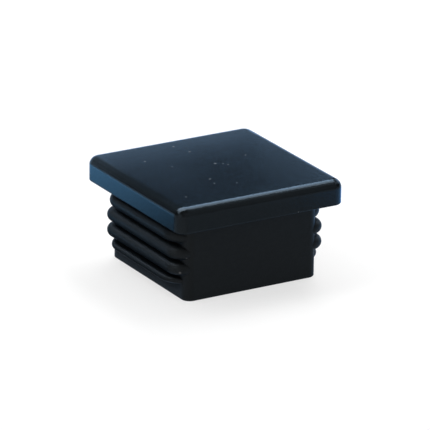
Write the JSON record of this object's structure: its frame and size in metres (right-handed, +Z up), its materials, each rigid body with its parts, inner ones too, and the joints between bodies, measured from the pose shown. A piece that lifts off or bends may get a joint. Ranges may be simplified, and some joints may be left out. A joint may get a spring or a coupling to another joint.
{
  "type": "rail end cap",
  "caption": "Square push-in end cap for a box-section rail: a flat head with a rounded rim over a hollow stem that grips the rail's inner walls with ribs on two opposite faces.",
  "frame": {"origin": "middle of the stem's foot, on the surface that the cap stands on", "axes": "+Z up through the head, X across the two ribbed faces, Y across the two plain faces"},
  "size_m": [0.04, 0.04, 0.0222],
  "materials": {
    "plastic": "satin black moulded plastic"
  },
  "bodies": {
    "root": {"end_cap": "plastic"}
  },
  "joints": []
}
